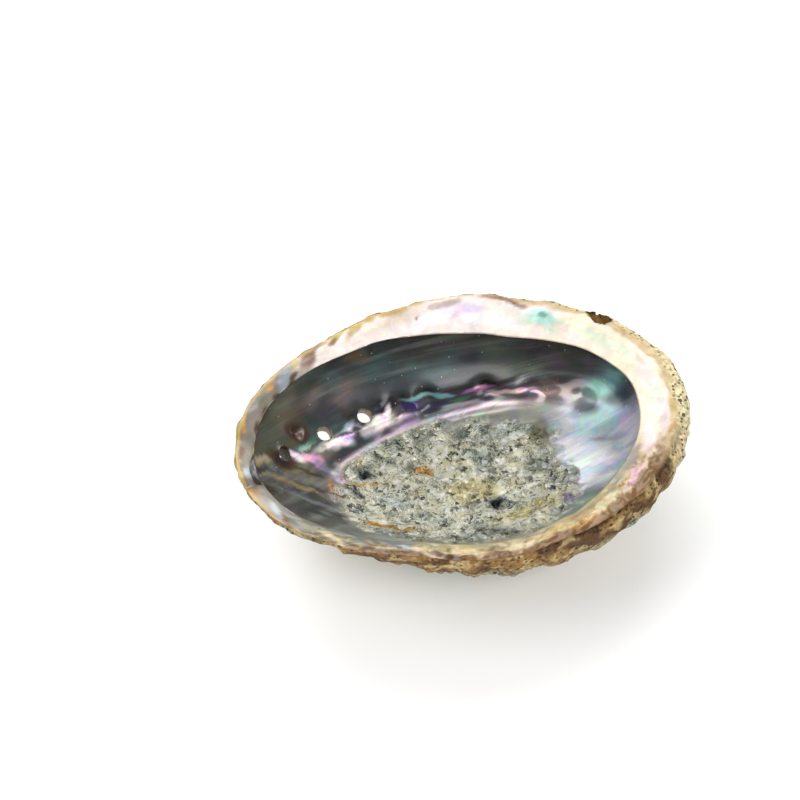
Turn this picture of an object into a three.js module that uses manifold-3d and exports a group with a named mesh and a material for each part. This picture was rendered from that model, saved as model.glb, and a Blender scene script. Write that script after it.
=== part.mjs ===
// Abalone shell, one grown piece, lying on its back with the opening and its nacre facing up.
import * as THREE from "three";
import Module from "manifold-3d";

const wasm = await Module();
wasm.setup();

// Driving dimensions, in millimetres. The shell is drawn with its rim in the plane z = 0:
// +X is the spire end, +Y the side with the wide shelf and the row of holes, +Z the opening.
const DOME_X = 12;
const DEPTH = 46;
const FLOOR = 40;
const WALL = 5;
const HOLE_BORE = 2.6;

// Lying still, this direction is down, and the flat spot it lies on is centred here.
const DOWN = new THREE.Vector3(0.022, -0.02, -1).normalize();
const REST = new THREE.Vector3(17.5, -2.4, -45.35);
const REST_REACH = 17;

// Seen square on, the rim is an ellipse that is pinched towards the tip and full at the front.
const LENGTH = 149;
const WIDTH = 112;

// Where that differs from the ellipse: angle and reach in degrees, and how far out.
const RIM_SWELLS = [
  [142, 30, -3],
  [216, 28, -4.4],
  [300, 30, 1.5],
];

// The shelf at its narrowest, and where it is broader: angle and reach in degrees, how much.
const SHELF_WIDTH = 5.5;
const SHELF_SWELLS = [
  [62, 62, 7.5],
  [320, 42, 5],
  [225, 45, 1.5],
];

// Twelve stations round the dome, every 30 degrees counterclockwise from +X.
const SHELF_DROP = [4, 5, 6, 6, 4, 2, 1.5, 1.5, 1.5, 1.5, 2.5, 3.5];
const UNDERCUT = [7, 7.5, 7.5, 6, 3, 1, 0.5, 0.3, 0.3, 0.6, 3, 6];
const BULGE = [7, 5, 1.5, 0.8, 0.5, 0.3, 0.3, 0.3, 0.5, 0.8, 2, 4.8];
const SHOULDER = [5, 4, 3, 2, 1.5, 1.5, 1.5, 1.5, 2, 2.5, 4, 5];
const DOME_FULLNESS = [0.52, 0.5, 0.5, 0.52, 0.65, 0.85, 0.95, 0.95, 0.75, 0.62, 0.55, 0.52];
const BOWL_FULLNESS = [0.5, 0.5, 0.5, 0.55, 0.7, 0.85, 0.95, 1, 0.8, 0.65, 0.5, 0.5];

// How strongly the dome and the bowl curve at their poles, lengthwise and crosswise, per mm.
const DOME_CURVE = [0.0055, 0.0092];
const BOWL_CURVE = [0.0058, 0.0092];

// The coil the shell grew along: its tip, its axis and how fast it opens.
const SPIRE = new THREE.Vector3(43, -20, -37);
const AXIS = new THREE.Vector3(0.3, -0.22, -0.93).normalize();
const ACROSS = new THREE.Vector3(1, 0, 0).projectOnPlane(AXIS).normalize();
const ALONG = new THREE.Vector3().crossVectors(ACROSS, AXIS).normalize();
const COIL = 0.35;
const OPENING = 0.0028;
const KNOB_HEIGHT = 5;
const KNOB_WIDTH = 15;

// The seam between the turns outside, seen square to the rim: it runs in from the rim to the tip.
const SEAM_START = 33;
const SEAM_ANGLE = -40;
const SEAM_TURNS = 1.7;
const SEAM_SHRINK = 0.27;
const SEAM_DEPTH = 1.9;

// Spiral lines of that coil, in degrees: the holes, the ridge inside, the muscle scar's edge.
const HOLE_ROW = 47.5;
const RIDGE = 54;
const PALE_LINE = 62;

// The newest hole's distance from the spire tip; each older one stands at this share of the next.
const NEWEST_HOLE = 105.5;
const HOLE_STEP = 0.89;

// Open holes, then two closed ones, counted back from the newest: number, the height and foot
// width of the tube that stands round the hole outside, how far it leans from straight down and
// which way, in degrees.
const OPEN_HOLES = [
  [2, 3.4, 8, 28, 88],
  [1, 3.6, 7.8, 27, 92],
  [0, 2.8, 6.6, 38, 150],
];
const CLOSED_HOLES = [
  [3, 2.6, 7.6, 30, 90],
  [4, 1.8, 7, 30, 90],
];
const TUBE_FOOT = 2.6;
const TUBE_SIDES = 14;
const CLOSED_DEPTH = 2.4;

// Blisters of nacre over closed holes inside: number in the row, height and width.
const KNOTS = [
  [2.8, 2.2, 4.2],
  [3.5, 1.8, 3.6],
  [5, 1.8, 3.8],
  [6.2, 2, 4],
  [7.8, 1.6, 4.5],
];

// Small pits in the nacre: a place in the plan and a radius.
const PITS = [
  [-29, 9, 1.7],
  [14, -8, 1.7],
  [-48, 22, 2],
];

// The hollow between the shelf and the outside at the spire end: degrees round the dome, size.
const CHIP_ANGLE = 31;
const CHIP_LENGTH = 12;
const CHIP_WIDTH = 6.5;

// The groove that runs from the narrow tip down into the bowl, in the plan.
const CHANNEL = [
  [-72, -1],
  [-65, 3],
  [-51, 9],
  [-40, 11],
];

// Relief, in height or depth and in width: the ridge of the holes outside and the hollow beside
// it, the folds, the ridge, the pale line and the channel inside, and the crumpled muscle scar.
const OUTER_RIDGE = [2.4, 5.5];
const OUTER_HOLLOW = [1.2, 5];
const HOLLOW_GAP = 9;
const FOLDS = 0.8;
const INNER_RIDGE = [1.6, 3];
const ROW_HOLLOW = [1.3, 4];
const PALE_RISE = [0.8, 1.8];
const CHANNEL_CUT = [1.6, 3.6];
const SCAR_MIDDLE = [5, 1];
const SCAR_REACH = [45, 27];
const FLAT_RADIUS = 30;
const FLAT_THICKNESS = 12;

const AROUND = 80;
const OUTER_ROWS = 17;
const SHELF_ROWS = 3;
const INNER_ROWS = 17;

// A smooth closed curve through the twelve stations.
function around(table, angle) {
  const u = (angle / (Math.PI / 6) + 24) % 12;
  const i = Math.floor(u);
  const f = u - i;
  const a = table[(i + 11) % 12];
  const b = table[i];
  const c = table[(i + 1) % 12];
  const d = table[(i + 2) % 12];
  return b + 0.5 * f * (c - a + f * (2 * a - 5 * b + 4 * c - d + f * (3 * (b - c) + d - a)));
}

// The sum of smooth swells round the dome.
function swelling(swells, angle) {
  let sum = 0;
  for (const [at, reach, height] of swells) {
    const away = THREE.MathUtils.euclideanModulo(THREE.MathUtils.radToDeg(angle) - at + 180, 360) - 180;
    sum += height * bell(away, reach);
  }
  return sum;
}

// How far out the rim is from the dome's middle.
function rim(angle) {
  const [a, b] = [LENGTH / 2, WIDTH / 2];
  const square = (Math.cos(angle) / a) ** 2 + (Math.sin(angle) / b) ** 2;
  const shift = (DOME_X * Math.cos(angle)) / a ** 2;
  const ellipse = (Math.sqrt(shift ** 2 + square * (1 - (DOME_X / a) ** 2)) - shift) / square;
  return ellipse + swelling(RIM_SWELLS, angle);
}

// How wide the shelf is.
function band(angle) {
  return SHELF_WIDTH + swelling(SHELF_SWELLS, angle);
}

// Soft unevenness between about -1 and 1, with lumps of the given size.
function lumps(p, size) {
  const k = (2 * Math.PI) / size;
  const a = Math.sin(k * (p.x + 0.35 * p.y) + 0.4) * Math.sin(k * (0.95 * p.y - 0.2 * p.x) + 1.3);
  const b = Math.sin(1.7 * k * (0.6 * p.x - 0.8 * p.y) + 2.1);
  const c = Math.sin(1.5 * k * (0.7 * p.x + 0.7 * p.y + p.z));
  return a + 0.5 * b * c;
}

// The rim itself is a little wavy.
function wave(angle) {
  return 0.7 * Math.sin(5 * angle + 0.6) + 0.5 * Math.sin(9 * angle + 2) + 0.3 * Math.sin(16 * angle);
}

function point(angle, r, z) {
  const p = new THREE.Vector3(DOME_X + r * Math.cos(angle), r * Math.sin(angle), z);
  p.z += wave(angle) * Math.exp(z / 8);
  return p;
}

// Near its pole a section eases into one shared dish, so no creases meet there.
function dish(angle, r, z, pole, [lengthwise, crosswise], reach) {
  const curve = lengthwise * Math.cos(angle) ** 2 + crosswise * Math.sin(angle) ** 2;
  const share = fade(r / reach, 0.2, 0.62);
  return point(angle, r, THREE.MathUtils.lerp(curve * r * r - pole, z, share));
}

// Half a section of the outside: a shoulder below the rim edge, then the dome down to its pole.
function outside(angle, way) {
  const edge = rim(angle) + around(BULGE, angle);
  const drop = around(SHOULDER, angle);
  if (way < 0.12) {
    const t = ((way / 0.12) * Math.PI) / 2;
    const r = rim(angle) + around(BULGE, angle) * Math.sin(t);
    return point(angle, r, -drop * (1 - Math.cos(t)));
  }
  const t = (((way - 0.12) / 0.88) * Math.PI) / 2;
  const z = -drop - (DEPTH - drop) * Math.pow(Math.sin(t), 2 * around(DOME_FULLNESS, angle));
  return dish(angle, edge * Math.cos(t), z, DEPTH, DOME_CURVE, edge);
}

// The shelf of nacre from the rim edge in to the mouth of the bowl.
function shelf(angle, way) {
  const r = rim(angle) - band(angle) * way;
  return point(angle, r, -around(SHELF_DROP, angle) * Math.pow(way, 1.5));
}

// Half a section of the bowl: under the shelf first, then the wall down to the floor.
function inside(angle, way) {
  const mouth = rim(angle) - band(angle);
  const cut = around(UNDERCUT, angle);
  const lip = around(SHELF_DROP, angle);
  const drop = lip + 1 + 0.9 * cut;
  if (way < 0.15) {
    const t = ((way / 0.15) * Math.PI) / 2;
    return point(angle, mouth + cut * Math.sin(t), -lip - (1 + 0.9 * cut) * (1 - Math.cos(t)));
  }
  const t = (((way - 0.15) / 0.85) * Math.PI) / 2;
  const z = -drop - (FLOOR - drop) * Math.pow(Math.sin(t), 2 * around(BOWL_FULLNESS, angle));
  return dish(angle, (mouth + cut) * Math.cos(t), z, FLOOR, BOWL_CURVE, mouth + cut);
}

// Distance from the spire tip, and from one of the spiral lines.
function coil(p, line) {
  const d = p.clone().sub(SPIRE);
  const r = d.length() + 0.01;
  const turn = Math.atan2(d.dot(ALONG), d.dot(ACROSS));
  const wound = Math.log(r / (COIL + OPENING * r)) / COIL;
  const past = turn - wound - THREE.MathUtils.degToRad(line);
  const off = past - 2 * Math.PI * Math.round(past / (2 * Math.PI));
  return { r, gap: (off * r) / Math.hypot(1, 1 / (COIL + OPENING * r)) };
}

function bell(distance, width) {
  return Math.exp(-((distance / width) ** 2));
}

function fade(value, from, to) {
  return THREE.MathUtils.smoothstep(value, from, to);
}

// The point of the bowl's wall under a place in the plan.
function onWall(x, y) {
  const angle = Math.atan2(y, x - DOME_X);
  const mouth = rim(angle) - band(angle) + around(UNDERCUT, angle);
  const share = Math.min(Math.hypot(x - DOME_X, y) / mouth, 1);
  return inside(angle, 0.15 + (0.85 * Math.acos(share)) / (Math.PI / 2));
}

// The point of the bowl's wall on the row of holes, counted back from the newest hole.
function inRow(number) {
  const r = NEWEST_HOLE * HOLE_STEP ** number;
  const turn = Math.log(r / (COIL + OPENING * r)) / COIL + THREE.MathUtils.degToRad(HOLE_ROW);
  const out = ACROSS.clone().multiplyScalar(Math.cos(turn)).addScaledVector(ALONG, Math.sin(turn));
  const at = (dip) => out.clone().multiplyScalar(Math.cos(dip)).addScaledVector(AXIS, Math.sin(dip));
  let [above, below] = [-1.2, 0.2];
  for (let i = 0; i < 30; i++) {
    const middle = (above + below) / 2;
    const p = at(middle).multiplyScalar(r).add(SPIRE);
    if (p.z > onWall(p.x, p.y).z) above = middle;
    else below = middle;
  }
  return at(above).multiplyScalar(r).add(SPIRE);
}

const knots = KNOTS.map(([number, height, width]) => ({ place: inRow(number), height, width }));
const channel = CHANNEL.map(([x, y]) => onWall(x, y));

function toLine(p, line) {
  let best = Infinity;
  for (let i = 0; i + 1 < line.length; i++) {
    const edge = new THREE.Line3(line[i], line[i + 1]);
    best = Math.min(best, edge.closestPointToPoint(p, true, new THREE.Vector3()).distanceTo(p));
  }
  return best;
}

// Relief of the outside, out from the wall: the knob of the spire, the ridge of the holes, folds.
function outerRelief(p) {
  const row = coil(p, HOLE_ROW);
  const size = Math.min(row.r / 80, 1);
  const knob = KNOB_HEIGHT * bell(Math.hypot(p.x - SPIRE.x, p.y - SPIRE.y), KNOB_WIDTH);
  const ridge = OUTER_RIDGE[0] * size * bell(row.gap, OUTER_RIDGE[1] * size + 0.5);
  const beside = row.gap - HOLLOW_GAP * size;
  const hollow = -OUTER_HOLLOW[0] * size * bell(beside, OUTER_HOLLOW[1] * size + 0.5);
  const rest = 1 - bell(Math.hypot(p.x - REST.x, p.y - REST.y), REST_REACH);
  const folds = FOLDS * lumps(p, 17) * rest * fade(row.r, 14, 34);
  return (knob + (ridge + hollow) * fade(row.r, 8, 30) + folds) * fade(-p.z, 2, 9);
}

// Relief of the inside, up from the wall: ridge, knots of closed holes, channel, muscle scar.
function innerRelief(p) {
  const ridge = coil(p, RIDGE);
  const row = coil(p, HOLE_ROW);
  const pale = coil(p, PALE_LINE);
  const along = fade(ridge.r, 38, 56);
  let h = INNER_RIDGE[0] * bell(ridge.gap, INNER_RIDGE[1]) * along * (1 - fade(ridge.r, 88, 104));
  h -= ROW_HOLLOW[0] * bell(row.gap - 0.5, ROW_HOLLOW[1]) * fade(row.r, 66, 82);
  h += PALE_RISE[0] * bell(pale.gap, PALE_RISE[1]) * along * (1 - fade(pale.r, 80, 92));
  for (const { place, height, width } of knots) h += height * bell(p.distanceTo(place), width);
  h -= CHANNEL_CUT[0] * bell(toLine(p, channel), CHANNEL_CUT[1]);
  const scar = Math.hypot((p.x - SCAR_MIDDLE[0]) / SCAR_REACH[0], (p.y - SCAR_MIDDLE[1]) / SCAR_REACH[1]);
  const out = fade(Math.hypot(p.x - DOME_X, p.y), 10, 24);
  const crumple = 0.6 * lumps(p, 13) + 0.4 * lumps(p, 7.5) * out;
  h += (crumple + 0.5) * (1 - fade(scar, 0.8, 1.05)) * fade(pale.gap, -1, 4);
  h += 0.35 * lumps(p, 15) * fade(-p.z, 6, 16);
  return h;
}

// One row of points round the shell; relief is along the wall's own normal.
function row(section, way, relief) {
  const points = [];
  for (let i = 0; i < AROUND; i++) {
    const angle = (2 * Math.PI * i) / AROUND;
    const p = section(angle, way);
    if (relief) {
      const step = 0.01;
      const sideways = section(angle + step, way).sub(section(angle - step, way));
      const down = section(angle, way + step / 4).sub(section(angle, way - step / 4));
      const normal = new THREE.Vector3().crossVectors(sideways, down).normalize();
      if (section === outside) normal.negate();
      p.addScaledVector(normal, relief(p));
    }
    points.push(p);
  }
  return points;
}

// The whole skin: outer pole, outside, shelf, inside, inner pole, closed all the way round.
function skin() {
  const rows = [];
  for (let j = OUTER_ROWS; j >= 1; j--) {
    const way = j / (OUTER_ROWS + 0.6);
    rows.push(row(outside, way, outerRelief));
  }
  for (let j = 0; j <= SHELF_ROWS; j++) rows.push(row(shelf, j / SHELF_ROWS, null));
  for (let j = 1; j <= INNER_ROWS; j++) {
    const way = j / (INNER_ROWS + 0.6);
    rows.push(row(inside, way, innerRelief));
  }
  const outerPole = new THREE.Vector3(DOME_X, 0, -DEPTH);
  const innerPole = new THREE.Vector3(DOME_X, 0, -FLOOR);
  innerPole.z += innerRelief(innerPole);
  const points = [outerPole, ...rows.flat(), innerPole];
  const faces = [];
  const at = (j, i) => 1 + j * AROUND + (i % AROUND);
  for (let i = 0; i < AROUND; i++) {
    faces.push(0, at(0, i + 1), at(0, i));
    for (let j = 0; j + 1 < rows.length; j++) {
      faces.push(at(j, i), at(j, i + 1), at(j + 1, i));
      faces.push(at(j, i + 1), at(j + 1, i + 1), at(j + 1, i));
    }
    faces.push(at(rows.length - 1, i), at(rows.length - 1, i + 1), points.length - 1);
  }
  return solid(new Float32Array(points.flatMap((p) => p.toArray())), new Uint32Array(faces));
}

function solid(vertProperties, triVerts) {
  return new wasm.Manifold(new wasm.Mesh({ numProp: 3, vertProperties, triVerts }));
}

// A round body from a profile of [radius, height] pairs that starts and ends on its axis.
function turned(profile, sides, from, direction) {
  const place = new THREE.Matrix4().compose(
    from,
    new THREE.Quaternion().setFromUnitVectors(new THREE.Vector3(0, 0, 1), direction),
    new THREE.Vector3(1, 1, 1),
  );
  const ends = [profile[0], profile[profile.length - 1]];
  const points = [new THREE.Vector3(0, 0, ends[0][1])];
  for (const [r, z] of profile.slice(1, -1)) {
    for (let i = 0; i < sides; i++) {
      const a = (2 * Math.PI * i) / sides;
      points.push(new THREE.Vector3(r * Math.cos(a), r * Math.sin(a), z));
    }
  }
  points.push(new THREE.Vector3(0, 0, ends[1][1]));
  const rows = profile.length - 2;
  const faces = [];
  const at = (j, i) => 1 + j * sides + (i % sides);
  for (let i = 0; i < sides; i++) {
    faces.push(0, at(0, i + 1), at(0, i));
    for (let j = 0; j + 1 < rows; j++) {
      faces.push(at(j, i), at(j, i + 1), at(j + 1, i));
      faces.push(at(j, i + 1), at(j + 1, i + 1), at(j + 1, i));
    }
    faces.push(at(rows - 1, i), at(rows - 1, i + 1), points.length - 1);
  }
  points.forEach((p) => p.applyMatrix4(place));
  return solid(new Float32Array(points.flatMap((p) => p.toArray())), new Uint32Array(faces));
}

// Roughly the outside's own normal: away from the middle of the bowl, and down.
function outward(p) {
  return new THREE.Vector3(p.x - DOME_X, p.y, 0).normalize().multiplyScalar(0.75).setZ(-1).normalize();
}

// A direction that leans so many degrees from straight down, towards a heading in the plan.
function leaning(lean, heading) {
  const [a, b] = [THREE.MathUtils.degToRad(lean), THREE.MathUtils.degToRad(heading)];
  return new THREE.Vector3(Math.sin(a) * Math.cos(b), Math.sin(a) * Math.sin(b), -Math.cos(a));
}

// A raised tube round a hole, standing on the wall outside.
function tube(number, height, foot, lean, heading) {
  const top = WALL + height;
  const profile = [
    [0, TUBE_FOOT],
    [foot, TUBE_FOOT],
    [foot * 0.92, WALL - 0.6],
    [foot * 0.72, WALL + height * 0.5],
    [foot * 0.64, top - 0.6],
    [foot * 0.52, top],
    [0, top],
  ];
  return turned(profile, TUBE_SIDES, inRow(number), leaning(lean, heading));
}

// The bore of a hole, a little wider towards the outside.
function bore(number, lean, heading, from, radius) {
  const profile = [[0, from], [radius, from], [radius * 1.25, 18], [0, 18]];
  return turned(profile, TUBE_SIDES, inRow(number), leaning(lean, heading));
}

// A point of the outside over a place in the plan.
function underside(x, y) {
  const angle = Math.atan2(y, x - DOME_X);
  const edge = rim(angle) + around(BULGE, angle);
  const r = Math.hypot(x - DOME_X, y);
  const way = 0.12 + (0.88 * Math.acos(Math.min(r / edge, 1))) / (Math.PI / 2);
  const p = outside(angle, way);
  return p.addScaledVector(outward(p), outerRelief(p));
}

// The seam between the turns, a groove that narrows towards the tip of the spire.
function seam() {
  const steps = 30;
  const sides = 6;
  const path = [];
  for (let k = 0; k <= steps; k++) {
    const turn = (-2 * Math.PI * SEAM_TURNS * k) / steps;
    const s = SEAM_START * Math.exp(SEAM_SHRINK * turn);
    const a = THREE.MathUtils.degToRad(SEAM_ANGLE) + turn;
    path.push(underside(SPIRE.x + s * Math.cos(a), SPIRE.y + s * Math.sin(a)));
  }
  const points = [];
  path.forEach((p, k) => {
    const run = path[Math.min(k + 1, steps)].clone().sub(path[Math.max(k - 1, 0)]).normalize();
    const out = outward(p).projectOnPlane(run).normalize();
    const side = new THREE.Vector3().crossVectors(run, out);
    const width = SEAM_DEPTH * (1 - (0.6 * k) / steps);
    for (let i = 0; i < sides; i++) {
      const a = (2 * Math.PI * i) / sides;
      const q = p.clone().addScaledVector(out, width * Math.cos(a));
      points.push(q.addScaledVector(side, width * Math.sin(a)));
    }
  });
  const faces = [];
  const at = (k, i) => k * sides + (i % sides);
  for (let i = 1; i + 1 < sides; i++) {
    faces.push(at(0, 0), at(0, i + 1), at(0, i));
    faces.push(at(steps, 0), at(steps, i), at(steps, i + 1));
  }
  for (let k = 0; k < steps; k++) {
    for (let i = 0; i < sides; i++) {
      faces.push(at(k, i), at(k, i + 1), at(k + 1, i));
      faces.push(at(k, i + 1), at(k + 1, i + 1), at(k + 1, i));
    }
  }
  return solid(new Float32Array(points.flatMap((q) => q.toArray())), new Uint32Array(faces));
}

// A hollow that tapers to both ends.
function spindle(centre, run, length, width) {
  const profile = [[0, -0.5], [0.3, -0.4], [0.5, 0], [0.3, 0.4], [0, 0.5]];
  return turned(profile.map(([r, z]) => [r * width, z * length]), 10, centre, run);
}

let body = skin();
for (const hole of [...OPEN_HOLES, ...CLOSED_HOLES]) body = body.add(tube(...hole));
for (const [number, , , lean, heading] of OPEN_HOLES) {
  body = body.subtract(bore(number, lean, heading, -6, HOLE_BORE));
}
for (const [number, height, , lean, heading] of CLOSED_HOLES) {
  body = body.subtract(bore(number, lean, heading, WALL + height - CLOSED_DEPTH, HOLE_BORE * 0.7));
}
for (const [x, y, radius] of PITS) {
  body = body.subtract(spindle(onWall(x, y), DOWN, 2 * radius, 2 * radius));
}
const chipAngle = THREE.MathUtils.degToRad(CHIP_ANGLE);
const chip = point(chipAngle, rim(chipAngle) + 1, -2);
const chipRun = new THREE.Vector3(Math.sin(chipAngle), -Math.cos(chipAngle), 0);
body = body.subtract(spindle(chip, chipRun, CHIP_LENGTH, CHIP_WIDTH));
body = body.subtract(seam());

// The flat spot the shell lies on.
const disc = [[0, 0], [FLAT_RADIUS, 0], [FLAT_RADIUS, FLAT_THICKNESS], [0, FLAT_THICKNESS]];
body = body.subtract(turned(disc, 24, REST, DOWN));

const mesh = body.getMesh();
const geometry = new THREE.BufferGeometry();
geometry.setAttribute("position", new THREE.BufferAttribute(new Float32Array(mesh.vertProperties), 3));
geometry.setIndex(new THREE.BufferAttribute(new Uint32Array(mesh.triVerts), 1));
geometry.translate(-REST.x, -REST.y, -REST.z);
geometry.applyQuaternion(new THREE.Quaternion().setFromUnitVectors(DOWN, new THREE.Vector3(0, 0, -1)));

const nacre = new THREE.MeshStandardMaterial({ color: 0xb9b4a6, roughness: 0.35, metalness: 0 });
const shell = new THREE.Mesh(geometry, nacre);
shell.name = "shell";
const group = new THREE.Group();
group.add(shell);
export default group;
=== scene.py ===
"""Abalone shell lying on its back: a deep bowl of nacre, its shelf, its crust outside, on a pale floor."""

import math

import bpy
import numpy as np
from mathutils import Matrix, Vector, noise
from mathutils.kdtree import KDTree


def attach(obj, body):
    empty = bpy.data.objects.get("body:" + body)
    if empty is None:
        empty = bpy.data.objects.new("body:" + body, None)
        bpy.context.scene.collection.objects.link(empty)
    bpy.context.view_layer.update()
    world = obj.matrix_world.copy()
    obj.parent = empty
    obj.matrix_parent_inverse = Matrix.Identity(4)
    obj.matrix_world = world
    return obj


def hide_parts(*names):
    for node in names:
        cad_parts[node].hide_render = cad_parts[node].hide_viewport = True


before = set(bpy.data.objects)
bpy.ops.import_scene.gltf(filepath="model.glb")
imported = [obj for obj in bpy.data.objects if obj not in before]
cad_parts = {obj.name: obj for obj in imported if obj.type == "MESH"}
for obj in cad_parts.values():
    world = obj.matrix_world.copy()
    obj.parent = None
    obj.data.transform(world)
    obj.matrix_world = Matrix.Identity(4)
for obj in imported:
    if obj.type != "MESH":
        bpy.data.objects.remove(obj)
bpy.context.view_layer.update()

TAU = 2 * math.pi
MM = 0.001

# The shell's shape, in millimetres, drawn with its rim in the plane z = 0: the same sections as the CAD.
DOME_X = 12.0
DEPTH = 46.0
FLOOR = 40.0
HOLE_BORE = 2.6
DOWN = Vector((0.022, -0.02, -1.0)).normalized()
REST = Vector((17.5, -2.4, -45.35))
REST_REACH = 17.0

# An ellipse, and where the rim differs from it: angle and reach in degrees, how far out in mm.
LENGTH = 149.0
WIDTH = 112.0
RIM_SWELLS = ((142, 30, -3), (216, 28, -4.4), (300, 30, 1.5))

# The shelf at its narrowest, and where it is broader.
SHELF_WIDTH = 5.5
SHELF_SWELLS = ((62, 62, 7.5), (320, 42, 5), (225, 45, 1.5))

# Twelve stations round the dome, every 30 degrees counterclockwise from +X.
SHELF_DROP = (4, 5, 6, 6, 4, 2, 1.5, 1.5, 1.5, 1.5, 2.5, 3.5)
UNDERCUT = (7, 7.5, 7.5, 6, 3, 1, 0.5, 0.3, 0.3, 0.6, 3, 6)
BULGE = (7, 5, 1.5, 0.8, 0.5, 0.3, 0.3, 0.3, 0.5, 0.8, 2, 4.8)
SHOULDER = (5, 4, 3, 2, 1.5, 1.5, 1.5, 1.5, 2, 2.5, 4, 5)
DOME_FULLNESS = (0.52, 0.5, 0.5, 0.52, 0.65, 0.85, 0.95, 0.95, 0.75, 0.62, 0.55, 0.52)
BOWL_FULLNESS = (0.5, 0.5, 0.5, 0.55, 0.7, 0.85, 0.95, 1, 0.8, 0.65, 0.5, 0.5)
DOME_CURVE = (0.0055, 0.0092)
BOWL_CURVE = (0.0058, 0.0092)

# The share of each section's way in which it turns over the rim or under the shelf.
OUTER_TURN = 0.12
INNER_TURN = 0.15

SPIRE = np.array((43.0, -20.0, -37.0))
AXIS = np.array((0.3, -0.22, -0.93))
AXIS /= np.linalg.norm(AXIS)
ACROSS = np.array((1.0, 0.0, 0.0)) - AXIS * AXIS[0]
ACROSS /= np.linalg.norm(ACROSS)
ALONG = np.cross(ACROSS, AXIS)
COIL = 0.35
OPENING = 0.0028
KNOB_HEIGHT = 5.0
KNOB_WIDTH = 15.0
SEAM_START = 33.0
SEAM_ANGLE = math.radians(-40)
SEAM_TURNS = 1.7
SEAM_SHRINK = 0.27
SEAM_DEPTH = 1.9
HOLE_ROW = 47.5
RIDGE = 54.0
PALE_LINE = 62.0

# The newest hole's distance from the spire tip, and the share of it at which each older one stands.
NEWEST_HOLE = 105.5
HOLE_STEP = 0.89

# Number counted back from the newest, height and foot of the tube outside, how far the tube leans
# from straight down and which way, in degrees.
OPEN_HOLES = ((2, 3.4, 8.0, 28, 88), (1, 3.6, 7.8, 27, 92), (0, 2.8, 6.6, 38, 150))
CLOSED_HOLES = ((3, 2.6, 7.6, 30, 90), (4, 1.8, 7.0, 30, 90))

# Blisters of nacre: number in the row, height, width.
KNOTS = ((2.8, 2.2, 4.2), (3.5, 1.8, 3.6), (5, 1.8, 3.8), (6.2, 2.0, 4.0), (7.8, 1.6, 4.5))

# Pits: a place in the plan and a radius.
PITS = ((-29, 9, 1.7), (14, -8, 1.7), (-48, 22, 2.0))
CHIP_ANGLE = math.radians(31)
CHIP_LENGTH = 12.0
CHIP_WIDTH = 6.5

# The muscle scar's half length and half width, and the power of its outline: 2 is an ellipse.
SCAR_REACH = (44.0, 29.0)
SCAR_SQUARENESS = 2.6
CHANNEL = ((-72, -1), (-65, 3), (-51, 9), (-40, 11))


# Colours of the nacre, and of the highlights and shade painted on it, by name.
PALETTE = {
    "night": "0c1020", "blackish_brown": "23201e", "umber": "44290f", "brown": "6e4a22", "ochre": "b4802c",
    "straw": "b8a45a", "cream": "d2c298", "olive": "74735a", "moss": "566654", "slate": "5c686c",
    "steel": "8a949c", "silver": "bcc6c6", "white": "fbf8fb", "lilac": "c6b6e0", "violet": "5a3f80",
    "indigo": "332c4c", "magenta": "ae70bc", "rose": "e2aed2", "blush": "f2d2d4", "green": "3f8a5c",
    "mint": "a6d8b8", "aqua": "8cd4cc", "teal": "3f6a66", "petrol": "1c3638", "warm": "8c8078",
}

# Patches on the bowl's wall: a place in the plan, half length, half width, tilt in degrees,
# colour and strength. Lengths are in mm.
# On the far wall the darkest patches along the top are painted shade under the shelf; the rest are the
# nacre's own colours.
FAR_WALL = (
    (10, 39.5, 20, 3.5, 2, "blackish_brown", 0.8), (15, 47, 16, 2.5, 0, "blackish_brown", 0.6),
    (-8, 46, 13, 2, 18, "blackish_brown", 0.55), (8, 44, 15, 2.2, 3, "teal", 0.35),
    (20.5, 44.5, 4.5, 1.5, -4, "night", 0.95), (31, 43, 6, 2.4, -18, "moss", 0.4),
    (18, 41, 14, 0.8, 2, "blackish_brown", 0.6), (-16, 43, 8, 2.6, 22, "teal", 0.55),
    (-21, 45, 3.5, 0.9, 20, "brown", 0.85), (-28, 36, 7, 2.6, 30, "warm", 0.75),
    (-22, 36.5, 5, 2, 22, "slate", 0.5), (-33, 38, 9, 1.8, 35, "slate", 0.45),
    (-8, 39, 9, 1.6, 10, "slate", 0.4), (-43.5, 30, 6, 1.7, 40, "umber", 0.55),
    (-40, 33, 6, 1.5, 40, "warm", 0.45), (-50, 31, 7, 1.6, 46, "olive", 0.6),
    (-42, 26, 4, 2.2, 20, "petrol", 0.75), (-49, 27, 5, 1.6, 32, "brown", 0.5),
    (-53, 23, 6, 2, 50, "olive", 0.6), (-59, 25, 4, 1.8, 55, "umber", 0.9),
    (-65, 17, 4, 1.6, 72, "brown", 0.9), (-59, 18, 6, 2.4, 60, "moss", 0.55),
    (1, 38.5, 12, 1, 4, "blackish_brown", 0.5), (12, 40, 10, 1.2, 4, "slate", 0.35),
    (-36, 30, 5, 1.6, 25, "indigo", 0.6),
)
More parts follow.
